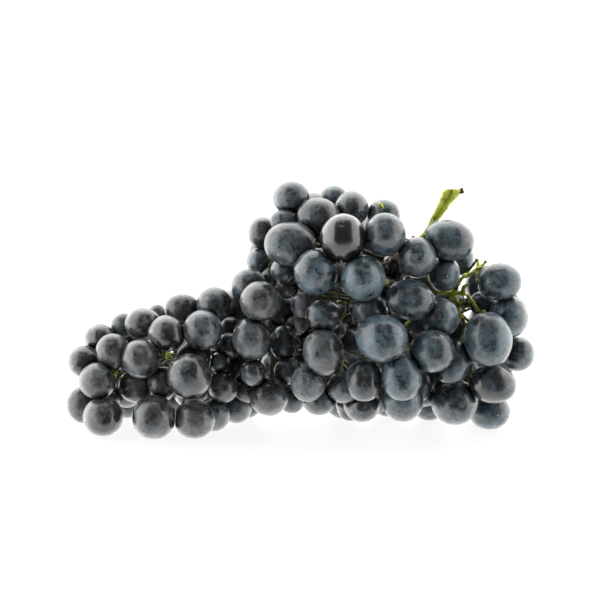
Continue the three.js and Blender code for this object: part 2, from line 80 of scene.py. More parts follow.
# One row for each berry of the near side: right of the middle, above the middle, width, length, lean of its
# length from level in degrees, how far back, and the kind of skin where it isn't the plain one
nearSide = {
    "tail": [
        [-94.4, -45.1, 14.6, 15.9, 90, -6], [-84.7, -50.1, 17.2, 17.6, 0, -24],
        [-87.7, -34.2, 15.9, 16.3, 0, -22], [-94, -26.7, 13.8, 13.8, 0, -8],
        [-86.6, -16.3, 13.3, 13.8, 0, 2], [-80.6, -21.3, 15, 15.5, 90, -13],
        [-69, -25.2, 16.8, 17.2, 90, -26], [-67.9, -10.3, 14.2, 15.9, 0, -10],
        [-75, -11, 11.2, 12, 90, 6], [-61.7, -6.7, 8.6, 10.3, 90, 12],
        [-57.8, -13.8, 15.9, 16.3, 0, -22], [-51.4, -3.7, 12.9, 15.5, 0, -8],
        [-41.3, -12.9, 17.2, 17.6, 90, -26], [-47.9, -32.7, 19.4, 19.8, 90, -34],
        [-58.7, -35, 12.5, 15, 90, -17], [-70.3, -36.8, 14.6, 17.2, 0, -12],
        [-75, -39.8, 12.5, 12.9, 90, 6], [-81.1, -41.9, 10.3, 10.3, 0, 4],
        [-63.4, -50.5, 19.4, 19.4, 20, -32], [-45.4, -50.7, 16.8, 18.1, 0, -27],
        [-37.6, -49.2, 14.2, 15, 90, -8], [-32.5, -37.2, 13.3, 14.2, 90, -20],
        [-36.3, -26, 8.2, 9, 90, -20], [-36.3, -1.5, 15.5, 15.5, 0, -12],
        [-29.9, -19.1, 12, 12, 90, -6],
    ],
    "waist": [
        [-27.7, -45.8, 13.3, 14.6, 90, 0], [-21.3, -16.6, 16.8, 18.5, 100, -26],
        [-21.1, -31.2, 11.2, 12, 90, -28], [-23, -38.9, 11.2, 11.2, 0, -10],
        [-12.7, -41.7, 17.2, 18.1, 90, -16], [-6.7, -18.3, 12.9, 15.5, 90, -12],
        [-5.4, -30.3, 12, 12, 0, -14], [0.2, -10.5, 6, 9.5, 90, -20, "shrivelled"],
        [-0.6, -0.6, 9.5, 11.2, 90, -22, "purple"], [-17, 0.9, 17.6, 17.6, 0, -27],
        [-21.7, 5.8, 15.9, 16.3, 90, -10], [2.8, -35.9, 15.5, 15.9, 90, -32, "wrinkled"],
        [10.3, -23.2, 18.1, 20.6, 110, -42], [11.2, -5.6, 14.2, 16.8, 0, -32],
        [18.3, -37.2, 13.8, 14.6, 0, -26], [8.4, -42.4, 14.6, 15, 0, -16],
        [-3.7, -42.8, 11.2, 12, 90, 0], [21.3, -44.9, 12, 14.2, 90, -6, "reddish"],
        [26.7, -44.7, 15.5, 15.9, 0, -20], [27.7, -34.2, 15.9, 18.9, 90, -36],
    ],
    "shoulder": [
        [-17.4, 16.1, 12, 12, 0, 4], [-7.1, 12.3, 12, 12, 0, -12],
        [-5.4, 5.4, 10.3, 10.3, 0, -8], [-3.7, 44.1, 14.6, 15.9, 0, -6],
        [-16.1, 29.9, 12.5, 14.2, 90, 2], [-7.1, 33.8, 10.3, 13.8, 0, -10],
        [-5.4, 25.2, 19.4, 23.2, 0, -29], [7.5, 36.5, 16.8, 19.4, -10, -18],
        [14, 44.1, 11.2, 12, 0, 4], [22.1, 40.2, 15, 15, 0, -8],
        [17, 26.7, 20.2, 21.5, 90, -38, "bare"], [35.7, 29.9, 18.1, 18.9, 90, -34],
        [37.6, 36.5, 13.3, 14.6, 0, -8], [6.9, 11.4, 18.9, 20.2, 100, -36, "blue"],
        [26.9, 10.1, 19.4, 20.2, 110, -38, "blue"], [28.2, -4.5, 16.3, 16.3, 0, -24],
        [40.6, 14, 12, 12.9, 90, -16, "brown"], [51.4, 16.6, 16.8, 17.6, 90, -32],
        [64.9, 26.7, 17.6, 21.9, -10, -24], [69, 17.8, 11.2, 14.6, 90, -6],
        [61.7, 11, 13.8, 15.5, 90, -20],
    ],
    "wing": [
        [47.1, 0.4, 17.6, 21.9, -5, -34], [60, -7.1, 16.8, 16.8, 90, -24],
        [51.4, -10.5, 12, 12, 0, -16], [34.4, -15.3, 20.6, 22.8, -10, -44, "blue"],
        [43.6, -33.8, 17.6, 21.1, 95, -40], [44.3, -43.2, 17.6, 18.5, 90, -24],
        [51, -36.8, 10.3, 13.8, 90, -22], [54, -40.6, 9.5, 9.5, 0, -10],
        [56.5, -22.1, 18.5, 19.8, -15, -40], [65.8, -26.9, 15, 19.8, 65, -28],
        [80.2, -17.2, 21.1, 24.5, 98, -36], [65.6, -44.1, 19.8, 20.2, 0, -18],
        [83.2, -35.5, 16.8, 21.1, -8, -26], [81.3, -47.7, 15.9, 17.6, 0, -8],
        [93.7, -23, 13.8, 15, 90, -8], [90.5, -8, 17.6, 18.5, 80, -16],
        [85.4, 8.8, 16.3, 19.4, 0, -22], [78.9, -1.1, 11.2, 12, 0, -10],
        [74.6, -0.2, 4.3, 4.7, 90, -4, "purple"],
    ],
}

# Berries further in, which show only in the gaps between those in front, in the same way
glimpsed = {
    "tail": [
        [-47.1, -22.4, 14.5, 15.5, 0, 8], [-30, -12.5, 10, 11, 90, -4],
    ],
    "waist": [
        [19.6, -20, 15, 16, 90, 4], [-28.3, -28.2, 12, 13, 0, -4],
        [-7.1, -4.1, 12.5, 13.5, 0, 2], [10.1, 1.6, 11, 12, 0, -8],
    ],
    "shoulder": [
        [-12.7, 9.5, 10, 11, 90, -4], [37, 6.3, 11, 12, 0, -14],
    ],
    "wing": [
        [61.5, -2.4, 14, 15, 90, 4], [66, -14, 14, 15, 0, 0],
        [57.4, -33.3, 11, 12, 0, -10], [44.5, -9.5, 10.5, 11.5, 0, -12],
    ],
}

# Tiny berries that never grew, deep in the gaps, which the solids leave out
shotBerries = {
    "waist": [
        [14.8, -12.7, 9, 9.5, 0, -8], [0.6, -25.1, 8.5, 9, 0, -2],
        [-1.9, -10.1, 8.5, 9, 0, -4],
    ],
    "shoulder": [
        [7.8, 26.4, 8, 8.5, 0, -16],
    ],
    "wing": [
        [47.2, -15.9, 9, 9.5, 0, -10],
    ],
}

# The stalk and its branches: the points that each one runs through, as they are seen from the front
stalkRoute = [
    [65.8, 47.7, -10], [61.9, 41.9, -10], [58.9, 36.8, -10], [56.1, 32.5, -9], [51.8, 25.6, -8],
    [46.7, 16.6, -4], [39.3, 6.7, 0], [27.7, -3.2, 2], [8.4, -12.7, 0], [-11.0, -19.1, 0],
    [-28.2, -21.3, 0], [-47.5, -23.9, -2], [-64.7, -27.3, -5], [-81.1, -33.3, -7],
]
branchRoutes = [
    [[44.9, 14.0, -4], [27.7, 20.9, -6], [7.5, 23.4, -6], [-5.8, 26.0, -3]],  # up over the shoulder
    [[44.9, 14.0, -4], [30.7, 19.1, 12], [15.3, 23.4, 20]],
    [[42.8, 11.0, -2], [30.7, 2.8, -14], [19.1, -0.6, -20]],
    [[50.1, 22.6, -6], [58.3, 4.5, -9], [65.1, 3.2, -13], [70.7, 2.8, -15],
     [74.6, -1.5, -16], [77.2, -5.8, -17]],  # the twigs that show in the gap of the wing
    [[65.1, 3.2, -13], [69.9, 10.1, -14], [72.9, 11.4, -14], [78.0, 14.8, -15], [79.8, 17.0, -15]],
    [[65.6, 3.2, -13], [69.0, -6.2, -14], [71.2, -10.5, -14]],
    [[76.8, 14.0, -15], [75.9, 17.4, -14]],
    [[69.9, 2.8, -15], [70.3, 5.8, -16], [72.5, 7.1, -17]],
    [[48.4, 19.1, -5], [60.0, 4.5, 8], [69.4, -10.5, 13], [74.6, -24.7, 10]],  # out along the wing, behind
    [[29.9, -1.5, 2], [40.6, -12.7, -12], [49.7, -23.0, -18]],
    [[29.9, -1.5, 2], [42.8, -12.7, 15], [49.2, -23.0, 19]],
    [[7.5, -13.1, 0], [14.4, -22.1, -13], [14.0, -30.7, -18]],  # down in the waist
    [[7.5, -13.1, 0], [9.2, -22.1, 13], [7.5, -29.9, 18]],
    [[53.5, 28.2, -8], [48.8, 25.6, -11], [44.1, 25.6, -12]],  # a short side twig with a dry stub
]

eyeAngle = math.radians(bunch["eyeTilt"])
rightWay = np.array([1.0, 0.0, 0.0])
forwardWay = np.array([0.0, math.cos(eyeAngle), -math.sin(eyeAngle)])
pictureUp = np.array([0.0, math.sin(eyeAngle), math.cos(eyeAngle)])
eyeTarget = np.array([0.0, 0.0, bunch["eyeTargetHeight"]])
eyePoint = eyeTarget - bunch["eyeDistance"] * forwardWay


def unit(vector):
    return vector / np.linalg.norm(vector, axis=-1, keepdims=True)


def onSightLine(across, above, back):
    # the point this far back on the line of sight through a point of the picture
    across, above, back = (np.atleast_1d(np.asarray(v, float))[:, None] for v in (across, above, back))
    sight = eyeTarget + across * rightWay + above * pictureUp - eyePoint
    return eyePoint + sight * (back - eyePoint[1]) / sight[:, 1:2]


def scatter(index, stream):
    # from -1 to 1, spread evenly over the indices, and the same every time
    step = (index + 1) * math.sqrt([2, 3, 5, 7, 11, 13][stream])
    return 2 * (step - math.floor(step)) - 1


def lengthDirection(width, length, lean, towardsEye):
    # where a berry's length points: along its lean as far as it looks long, and for the rest at the eye
    share = ((length / width) ** 2 - 1) / (bunch["berryStretch"] ** 2 - 1)
    inPicture = math.sqrt(min(max(share, 0), 1))
    angle = math.radians(lean)
    across = math.cos(angle) * rightWay + math.sin(angle) * pictureUp
    return across * inPicture - forwardWay * towardsEye * math.sqrt(1 - inPicture ** 2)


def smoothRoute(corners, spacing):
    # evenly spaced points on a centripetal Catmull-Rom curve through the corners
    p = np.array(corners, float)
    p = np.vstack([2 * p[0] - p[1], p, 2 * p[-1] - p[-2]])

    def at(t):
        k = min(int(t), len(corners) - 2)
        x0, x1, x2, x3 = p[k:k + 4]
        d0, d1, d2 = (max(np.sum((b - a) ** 2) ** 0.25, 1e-4)
                      for a, b in ((x0, x1), (x1, x2), (x2, x3)))
        m1 = ((x1 - x0) / d0 - (x2 - x0) / (d0 + d1) + (x2 - x1) / d1) * d1
        m2 = ((x2 - x1) / d1 - (x3 - x1) / (d1 + d2) + (x3 - x2) / d2) * d1
        w = t - k
        return x1 + m1 * w + (3 * (x2 - x1) - 2 * m1 - m2) * w ** 2 + (2 * (x1 - x2) + m1 + m2) * w ** 3

    fineSteps = np.linspace(0, len(corners) - 1, 201)
    fine = np.array([at(t) for t in fineSteps])
    run = np.concatenate([[0], np.cumsum(np.linalg.norm(np.diff(fine, axis=0), axis=1))])
    steps = math.ceil(run[-1] / spacing)
    places = np.interp(np.linspace(0, run[-1], steps + 1), run, fineSteps)
    return np.array([at(t) for t in places])


def berryRow(cluster, across, above, width, length, axis, centre, seen, kind="plain", inner=0.0):
    return {"cluster": cluster, "across": across, "above": above, "width": width, "length": length,
            "axis": axis, "centre": centre, "seen": seen, "kind": kind, "inner": inner}


def rowsOf(table):
    rows = []
    for cluster, seen in table.items():
        for across, above, width, length, lean, back, *kind in seen:
            centre = onSightLine(across, above, back)[0]
            nearness = np.linalg.norm(centre - eyePoint) / bunch["eyeDistance"]
            width, length = width * nearness, length * nearness
            rows.append(berryRow(cluster, across, above, width, max(length, width * bunch["berryStretch"]),
                                 lengthDirection(width, length, lean, 1), centre, True, *kind))
    return rows


def growBerries():
    # the near side, and behind each of its berries that lies at the front, one at the back
    rows = rowsOf(nearSide)
    wander = bunch["farSideWander"]
    for index, front in enumerate(list(rows)):
        if front["centre"][1] > -bunch["mirrored"]["forward"] or front["width"] < bunch["mirrored"]["width"]:
            continue
        side = np.sign(-front["across"] + bunch["narrowestAt"])
        across = front["across"] + bunch["farSideShift"] * side + wander * scatter(index, 1)
        above = front["above"] - bunch["farSideDrop"][front["cluster"]] + wander * scatter(index, 2)
        width = bunch["farSideWidth"][0] + bunch["farSideWidth"][1] * scatter(index, 3)
        back = -front["centre"][1] - bunch["farSideLess"] + wander * scatter(index, 5)
        turn = 180 * scatter(index, 4)
        rows.append(berryRow(front["cluster"], across, above, width, width * bunch["berryStretch"],
                             lengthDirection(width, width * bunch["hiddenStretch"], turn, -1),
                             onSightLine(across, above, back)[0], False))
    return rows + [{**row, "inner": bunch["glimpsedInner"]} for row in rowsOf(glimpsed)]


def fillHeart(rows, stalkPoints):
    # berries in the heart of the bunch, wherever one fits and the near side hides it
    near = [row for row in rows if row["seen"]]
    seenAcross, seenAbove, seenWidth = (
        np.array([row[key] for row in near]) for key in ("across", "above", "width"))
    nearCentres = np.array([row["centre"] for row in near])
    turns = np.arange(8) * math.pi / 4
    radius = bunch["heartWidth"] / 2
    outline = bunch["heartOutline"] * radius
    for k in range(bunch["heartTries"]):
        across, above, back = (reach * scatter(k, stream) for stream, reach in enumerate(bunch["heartReach"]))
        centre = onSightLine(across, above, back)[0]
        if centre[2] < radius:
            continue
        x = across + outline * np.cos(turns)
        y = above + outline * np.sin(turns)
        away = np.hypot(seenAcross[:, None] - x, seenAbove[:, None] - y)
        if not (away < bunch["heartHidden"] * seenWidth[:, None]).any(axis=0).all():
            continue
        if np.linalg.norm(stalkPoints - centre, axis=1).min() < radius + bunch["heartStalkGap"]:
            continue
        distances = np.linalg.norm(np.array([row["centre"] for row in rows]) - centre, axis=1)
        if (distances < radius + np.array([row["width"] for row in rows]) / 2).any():
            continue
        nearest = near[int(np.argmin(np.linalg.norm(nearCentres - centre, axis=1)))]
        width = bunch["heartWidth"] + bunch["heartSpread"] * scatter(k, 3)
        way = lengthDirection(width, width * bunch["hiddenStretch"], 180 * scatter(k, 4), 1)
        rows.append(berryRow(nearest["cluster"], across, above, width, width * bunch["berryStretch"],
                             way, centre, False, inner=1.0))
    return rows


def reachOf(berries, which, way):
    # how far the skin of some of the berries is from their centres in a direction
    along = np.sum(berries["axis"][which] * way, axis=-1) ** 2
    length, width = berries["length"][which], berries["width"][which]
    return 1 / np.sqrt(along / (length / 2) ** 2 + (1 - along) / (width / 2) ** 2)


def linkClusters(gaps, cluster):
    # the pairs that hold a cluster together: each berry in turn joins it by its narrowest gap
    linked = np.zeros(gaps.shape, bool)
    for which in range(len(nearSide)):
        members = np.flatnonzero(cluster == which)
        joined, waiting = [members[0]], list(members[1:])
        while waiting:
            between = gaps[np.ix_(joined, waiting)]
            a, b = np.unravel_index(np.argmin(between), between.shape)
            linked[joined[a], waiting[b]] = linked[waiting[b], joined[a]] = True
            joined.append(waiting.pop(b))
    return linked


def settle(berries, stalkPoints):
    # pushes the berries apart until they only press on each other, off the stalk and off the table
    centre, axis, width, length = (berries[key] for key in ("centre", "axis", "width", "length"))
    seen, cluster = berries["seen"], berries["cluster"]
    rest = centre.copy()
    alongUp = axis[:, 2] ** 2
    floor = np.sqrt(alongUp * (length / 2) ** 2 + (1 - alongUp) * (width / 2) ** 2) - bunch["tableFlat"]
    lies = centre[:, 2] < floor + bunch["tableReach"]
    i, j = np.triu_indices(len(centre), 1)
    sameCluster = cluster[i] == cluster[j]
    linked = np.zeros(len(i), bool)
    for turn in range(bunch["settleRounds"]):
        loose = turn >= bunch["looseRound"]
        between = centre[j] - centre[i]
        distance = np.linalg.norm(between, axis=1)
        between = between / distance[:, None]
        touching = reachOf(berries, i, between) + reachOf(berries, j, between)
        if turn in bunch["linkRounds"]:
            gaps = np.full((len(centre), len(centre)), np.inf)
            gaps[i, j] = gaps[j, i] = distance - touching
            linked = linkClusters(gaps, cluster)[i, j]
        apart = np.where(linked, -bunch["pressIn"], np.where(sameCluster, 0, bunch["clusterGap"]))
        short = touching + apart - distance
        push = (np.where(short > 0, bunch["pushApart"], bunch["pullTogether"]) * short
                * ((short >= 0) | linked) * (distance <= bunch["pairReach"]))
        moves = np.zeros_like(centre)
        np.add.at(moves, i, -push[:, None] * between)
        np.add.at(moves, j, push[:, None] * between)
        away = centre[:, None] - stalkPoints[None]
        far = np.linalg.norm(away, axis=2)
        away = away / far[..., None]
        reach = reachOf(berries, np.s_[:, None], away)
        tooClose = np.maximum(reach + bunch["stalkRadius"] + bunch["clusterGap"] - far, 0)
        moves += np.sum(bunch["pushApart"] * tooClose[..., None] * away, axis=1)
        centre += moves
        sight = onSightLine(berries["across"], berries["above"], centre[:, 1])
        pull = bunch["anchorPull"][loose]
        centre[seen, 0] += pull * (sight[seen, 0] - centre[seen, 0])
        centre[seen, 2] += pull * (sight[seen, 2] - centre[seen, 2])
        centre[seen, 1] += bunch["depthPull"] * (rest[seen, 1] - centre[seen, 1])
        centre[~seen] += bunch["restPull"][loose] * (rest - centre)[~seen]
        centre[:, 2] = np.where(lies, floor, np.maximum(centre[:, 2], floor))


rooting = {
    "taken": 5,  # how many millimetres further a stem goes to a point than to one that a stem has already
    "stemRadius": 0.8,
    "inTheWay": 2,  # how many millimetres further it goes to pass outside a berry, for each one of depth
    "samples": [0.25, 0.5, 0.75],
    "facing": 0.5,  # a berry's length this much towards the eye shows the flower's end
}


def findRoots(berries, stalkPoints):
    # where each berry's own stem leaves the stalk: the point it reaches most freely and that few others use
    centre, axis = berries["centre"], berries["axis"]
    taken = np.zeros(len(stalkPoints))
    roots = np.zeros_like(centre)
    for b in range(len(centre)):
        away = centre[b] - stalkPoints
        distance = np.linalg.norm(away, axis=1)
        skinAt = 1 - reachOf(berries, b, unit(away)) / distance
        cost = distance + rooting["taken"] * taken
        others = np.arange(len(centre)) != b
        for share in rooting["samples"]:
            on = stalkPoints + away * (share * skinAt)[:, None]
            out = on[:, None] - centre[others][None]
            depth = reachOf(berries, others, unit(out)) + rooting["stemRadius"] - np.linalg.norm(out, axis=2)
            cost = cost + rooting["inTheWay"] * np.maximum(depth, 0).sum(axis=1)
        best = int(np.argmin(cost))
        taken[best] += 1
        roots[b] = stalkPoints[best]
        # the flower's end faces away from the stalk, and on the near side rather towards the eye
        away = np.dot(axis[b], unit(centre[b] - roots[b]))
        towardsEye = -np.dot(axis[b], forwardWay)
        shown = berries["seen"][b] and abs(towardsEye) > rooting["facing"]
        if (towardsEye if shown else away) < 0:
            axis[b] *= -1
    berries["root"] = roots


def columnsOf(rows):
    # one array for each thing that is known of the berries
    berries = {key: np.array([row[key] for row in rows]) for key in rows[0] if key != "cluster"}
    berries["cluster"] = np.array([list(nearSide).index(row["cluster"]) for row in rows])
    return berries


def layOut():
    routes = [onSightLine(*np.array(route, float).T) for route in [stalkRoute] + branchRoutes]
    stalkPoints = np.vstack([smoothRoute(route, spacing=3) for route in routes])
    rows = fillHeart(growBerries(), stalkPoints)
    berries = columnsOf(rows)
    settle(berries, stalkPoints)
    small = columnsOf([{**row, "inner": bunch["shotInner"]} for row in rowsOf(shotBerries)])
    berries = {key: np.concatenate([berries[key], small[key]]) for key in berries}
    findRoots(berries, stalkPoints)
    return berries, routes


berries, routes = layOut()
print("laid out", len(berries["centre"]), "berries")


class Wire:
    # a socket of a node tree, so that the nodes' maths reads as plain sums
    def __init__(self, tree, socket=None):
        self.tree = tree
        self.socket = socket

    def node(self, kind, settings=None, inputs=None, out=0):
        made = self.tree.nodes.new(kind)
        for name, value in (settings or {}).items():
            setattr(made, name, value)
        for name, value in (inputs or {}).items():
            if isinstance(value, Wire):
                self.tree.links.new(value.socket, made.inputs[name])
            else:
                made.inputs[name].default_value = value
        return Wire(self.tree, made.outputs[out])

    def maths(self, operation, *values):
        return self.node("ShaderNodeMath", {"operation": operation}, dict(enumerate(values)))

    def __add__(self, other):
        return self.maths("ADD", self, other)

    def __sub__(self, other):
        return self.maths("SUBTRACT", self, other)

    def __rsub__(self, other):
        return self.maths("SUBTRACT", other, self)

    def __mul__(self, other):
        return self.maths("MULTIPLY", self, other)

    def __rtruediv__(self, other):
        return self.maths("DIVIDE", other, self)

    def __pow__(self, other):
        return self.maths("POWER", self, other)

    __radd__ = __add__
    __rmul__ = __mul__

    def size(self):
        return self.maths("ABSOLUTE", self)

    def rise(self, start, end):
        # 0 up to start, 1 from end on, smooth between
        values = {"Value": self, "From Min": start, "From Max": end}
        return self.node("ShaderNodeMapRange", {"interpolation_type": "SMOOTHSTEP"}, values)

    def vector(self, operation, other=None):
        inputs = {0: self} if other is None else {0: self, 1: other}
        out = 1 if operation == "DOT_PRODUCT" else 0
        return self.node("ShaderNodeVectorMath", {"operation": operation}, inputs, out)

    def times(self, scale):
        # this vector or colour, longer or brighter
        return self.node("ShaderNodeVectorMath", {"operation": "SCALE"}, {0: self, "Scale": scale})

    def part(self, letter):
        return self.node("ShaderNodeSeparateXYZ", None, {0: self}, letter)

    def blend(self, low, high):
        # this value as the share of one colour over another
        settings = {"data_type": "RGBA", "blend_type": "MIX", "clamp_factor": True}
        return self.node("ShaderNodeMix", settings, {0: self, 6: low, 7: high}, 2)

    def noise(self, scale, detail=2, roughness=0.5, distortion=0.0):
        # a noise from 0 to 1 at this place
        values = {"Vector": self, "Scale": scale, "Detail": detail, "Roughness": roughness,
                  "Distortion": distortion}
        return self.node("ShaderNodeTexNoise", None, values)

    def cells(self, scale):
        # how far this place is from the nearest of many scattered points
        return self.node("ShaderNodeTexVoronoi", None, {"Vector": self, "Scale": scale})

    def attribute(self, name, out="Fac"):
        # a value that the piece's mesh carries, in a shader
        return self.node("ShaderNodeAttribute", {"attribute_name": name}, None, out)

    def named(self, name, kind="FLOAT_VECTOR"):
        # the same in a geometry tree
        return self.node("GeometryNodeInputNamedAttribute", {"data_type": kind}, {"Name": name})

    def stored(self, name, value):
        # this geometry with a vector that it carries
        return self.node("GeometryNodeStoreNamedAttribute", {"data_type": "FLOAT_VECTOR"},
                         {"Geometry": self, "Name": name, "Value": value})


def rgb(red, green, blue):
    return (red, green, blue, 1)


def newMaterial(name):
    # a material with only its output and one Principled shader, and a wire to make nodes from
    material = bpy.data.materials.new(name)
    material.use_nodes = True
    tree = material.node_tree
    tree.nodes.clear()
    output = tree.nodes.new("ShaderNodeOutputMaterial")
    shader = tree.nodes.new("ShaderNodeBsdfPrincipled")
    tree.links.new(shader.outputs[0], output.inputs["Surface"])
    return material, shader, Wire(tree)


def feed(shader, sockets):
    # the shader's wires, and its values that are the same all over
    for name, value in sockets.items():
        if isinstance(value, Wire):
            value.tree.links.new(value.socket, shader.inputs[name])
        else:
            shader.inputs[name].default_value = value


skin = {
    "flesh": rgb(0.0050, 0.0046, 0.0058),  # the skin under the bloom
    "greyBloom": rgb(0.0590, 0.0605, 0.0630),
    "blueBloom": rgb(0.0450, 0.0685, 0.0840),
    "brown": rgb(0.030, 0.010, 0.008),
    "brownBloom": rgb(0.075, 0.058, 0.054),
    "purple": rgb(0.060, 0.050, 0.072),
    "scar": rgb(0.022, 0.017, 0.012),  # the dot where the flower sat
    "frost": rgb(0.135, 0.150, 0.160),  # where the bloom has gathered in flakes
    # painted glints: tiny pale dots that stand for the glints of water droplets on the skin
    "paintedGlint": rgb(0.25, 0.25, 0.25),
    "patchSize": 8.0,  # millimetres
    "blotSize": 5.0,
    "smearSize": 2.4,
    "grainSize": 0.5,
    "pitSize": 1.3,
    "glintSpacing": 7.0,
    "wrinkleSize": 2.0,
    "patchCover": 1.6,  # how much each of them thickens or thins the bloom
    "smearCover": 0.8,
    "grainCover": 0.4,
    "endRubAndReflectionCover": 0.35,  # how much of the bloom is gone round the flower's end, which is partly rubbed bloom and partly a painted dark reflection of the room in front
    "blotCover": 0.8,
    "pitCover": 0.85,
    "blueDrift": 2.2,  # how much bluer or greyer than the rest a patch is
    "bareShine": 0.5,  # bare skin is glossy, bloom isn't
    "bloomShine": 0.08,
    "bareRoughness": 0.24,
    "bloomRoughness": 0.33,
    "innerPaintedShade": 0.65,  # painted shade: how much darker a berry deep inside the bunch is painted, by showing less of its bloom
    "innerDull": 0.8,
    "bump": 0.0003,
    "index": 1.34,  # the refractive index of the wax, and of bare skin's polish
    "coatIndex": 1.42,
    "coatRoughness": 0.09,
}


def bloomCover(wire, blots, smears, grain):
    # how much bloom covers the skin: thick and thin, rubbed off in blots, and pitted in places; round the
    # flower's end it thins as rubbed bloom and as a painted dark reflection, and near a neighbour as rubbed
    # bloom and as painted shade
    place, spot = wire.attribute("skinPlace", "Vector"), wire.attribute("spot", "Vector")
    patches = place.noise(1 / skin["patchSize"], 2, 0.5, 0.6)
    pits = 1 - place.cells(1 / skin["pitSize"]).rise(0.10, 0.24)
    fromScar = spot.part("Z").maths("ARCCOSINE", spot.part("Z"))  # angle from the flower's end
    # painted reflection: round the flower's end, which faces the eye on the near side, the bloom thins to
    # dark skin, partly rubbed bloom and partly a painted dark reflection of the room in front
    rubbedEndAndReflection = (1 - (fromScar + (smears - 0.5) * 0.8).rise(0.1, 0.75)) * wire.attribute("endRubAndDarkReflection")
    cover = (wire.attribute("bloom") + (patches - 0.5) * skin["patchCover"]
             + (smears - 0.5) * skin["smearCover"] + (grain - 0.5) * skin["grainCover"])
    # near a neighbour the bloom thins to dark skin: partly rubbed bloom, partly painted shade between the
    # berries
    cover = cover - rubbedEndAndReflection * skin["endRubAndReflectionCover"] - wire.attribute("touch") * (0.1 + smears * 0.6)
    cover = cover.rise(0.0, 1.0)
    cover = cover * (1 - blots.rise(0.555, 0.62) * skin["blotCover"])
    cover = cover * (1 - pits * smears.rise(0.44, 0.52) * skin["pitCover"])
    blueness = wire.attribute("blue") + (patches - 0.5) * skin["blueDrift"]
    return cover, blueness, 1 - fromScar.rise(0.05, 0.085)


def grapeSkin():
    material, shader, wire = newMaterial("grapeSkin")
    place = wire.attribute("skinPlace", "Vector")
    wither, brown, purple, inner = (wire.attribute(name) for name in ("wither", "brown", "purple", "inner"))
    blots = place.noise(1 / skin["blotSize"], 5, 0.62, 0.5)
    smears = place.noise(1 / skin["smearSize"], 4, 0.6, 0.4)
    grain = place.noise(1 / skin["grainSize"], 2, 0.6)
    # painted glints: tiny pale dots scattered over the skin
    paintedGlints = 1 - place.cells(1 / skin["glintSpacing"]).rise(0.04, 0.055)
    cover, blueness, scar = bloomCover(wire, blots, smears, grain)

    wax = purple.blend(blueness.blend(skin["greyBloom"], skin["blueBloom"]), skin["purple"])
    wax = brown.blend(wax, skin["brownBloom"])
    thickness = 0.7 + smears.rise(0.3, 0.7) * 0.4 + (grain - 0.5) * 0.6
    frost = (blots + (grain - 0.5) * 0.5).rise(0.46, 0.38) * grain.rise(0.45, 0.6) * cover
    wax = (frost * 0.65).blend(wax.times(thickness), skin["frost"])
    flesh = brown.blend(skin["flesh"], skin["brown"])
    # painted shade: berries deep inside the bunch are painted darker, with less of their bloom showing
    colour = (cover * (1 - inner * skin["innerPaintedShade"])).blend(flesh, wax)
    colour = (scar * 0.8).blend(colour, skin["scar"])
    colour = paintedGlints.blend(colour, skin["paintedGlint"])

    roughness = skin["bareRoughness"] + cover * (skin["bloomRoughness"] - skin["bareRoughness"])
    roughness = roughness + wither * 0.1 + inner * 0.1
    bare = (1 - cover.rise(0.0, 0.4)) * (1 - wire.attribute("touch"))
    shine = skin["bloomShine"] + bare * skin["bareShine"]
    shine = shine * (1 - inner * skin["innerDull"]) * (0.65 + smears.rise(0.4, 0.6) * 0.35)

    wrinkles = place.noise(1 / skin["wrinkleSize"], 3, 0.55, 1.2)
    height = grain * 0.25 + smears * 1.1 + wrinkles * wither * 6 - scar * 1.2
    normal = wire.node("ShaderNodeBump", None, {"Strength": 0.5, "Distance": skin["bump"], "Height": height})
    feed(shader, {"Base Color": colour, "Roughness": roughness, "Coat Weight": shine, "Normal": normal,
                  "IOR": skin["index"], "Coat IOR": skin["coatIndex"],
                  "Coat Roughness": skin["coatRoughness"]})
    return material


# The berries, one piece for each cluster
berry = {
    "Around": 40,
    "Along": 26,
    "Dimple": 0.07,  # how deep the skin draws in at the stem, as a share of the half length
    "Lumpiness": 0.00045,
    "Lump Size": 7.0,  # millimetres, as the rest are
    "Folds": 0.35,  # in each millimetre of a withered skin
    "pressSoftness": 0.22,  # how round the edge of a pressed flat is
    "tableSoftness": 0.1,
    "touchReach": 1.5,  # how far from a neighbour the bloom thins, partly as rubbed bloom and partly as painted shade between berries
    "gapWithin": 0.06,  # how far a berry's skin stays off the middle between it and another of its cluster
    "gapBetween": 0.15,
}
# What a berry's skin is like: cover of bloom, rubbed flower end with its painted dark reflection, withered,
# brown, purple, and more blue
skinKinds = {
    "plain": [0.62, 0.6, 0, 0, 0, 0],
    "bare": [-0.12, 0.2, 0, 0, 0, 0],
    "blue": [0.8, 1.0, 0, 0, 0, 0.5],
    "purple": [0.9, 0, 0.35, 0.1, 0.8, 0],
    "shrivelled": [0.8, 0, 1, 0.7, 0.3, 0],
    "wrinkled": [0.62, 0.2, 0.8, 0.05, 0, 0],
    "reddish": [0.3, 0.3, 0, 0.7, 0, 0],
    "brown": [0.0, 0, 0.3, 0.35, 0, 0],
}


def groupWithInputs(name, inputs):
    tree = bpy.data.node_groups.new(name, "GeometryNodeTree")
    tree.interface.new_socket("Geometry", in_out="INPUT", socket_type="NodeSocketGeometry")
    tree.interface.new_socket("Geometry", in_out="OUTPUT", socket_type="NodeSocketGeometry")
    for label, kind in inputs.items():
        tree.interface.new_socket(label, in_out="INPUT", socket_type="NodeSocket" + kind)
    entry = tree.nodes.new("NodeGroupInput")
    wire = Wire(tree)
    return tree, wire, {socket.name: Wire(tree, socket) for socket in entry.outputs if socket.name}


def raisedBy(wire, geometry, height):
    # the surface moved out along its own normals
    offset = wire.node("GeometryNodeInputNormal").times(height)
    return wire.node("GeometryNodeSetPosition", None, {"Geometry": geometry, "Offset": offset})


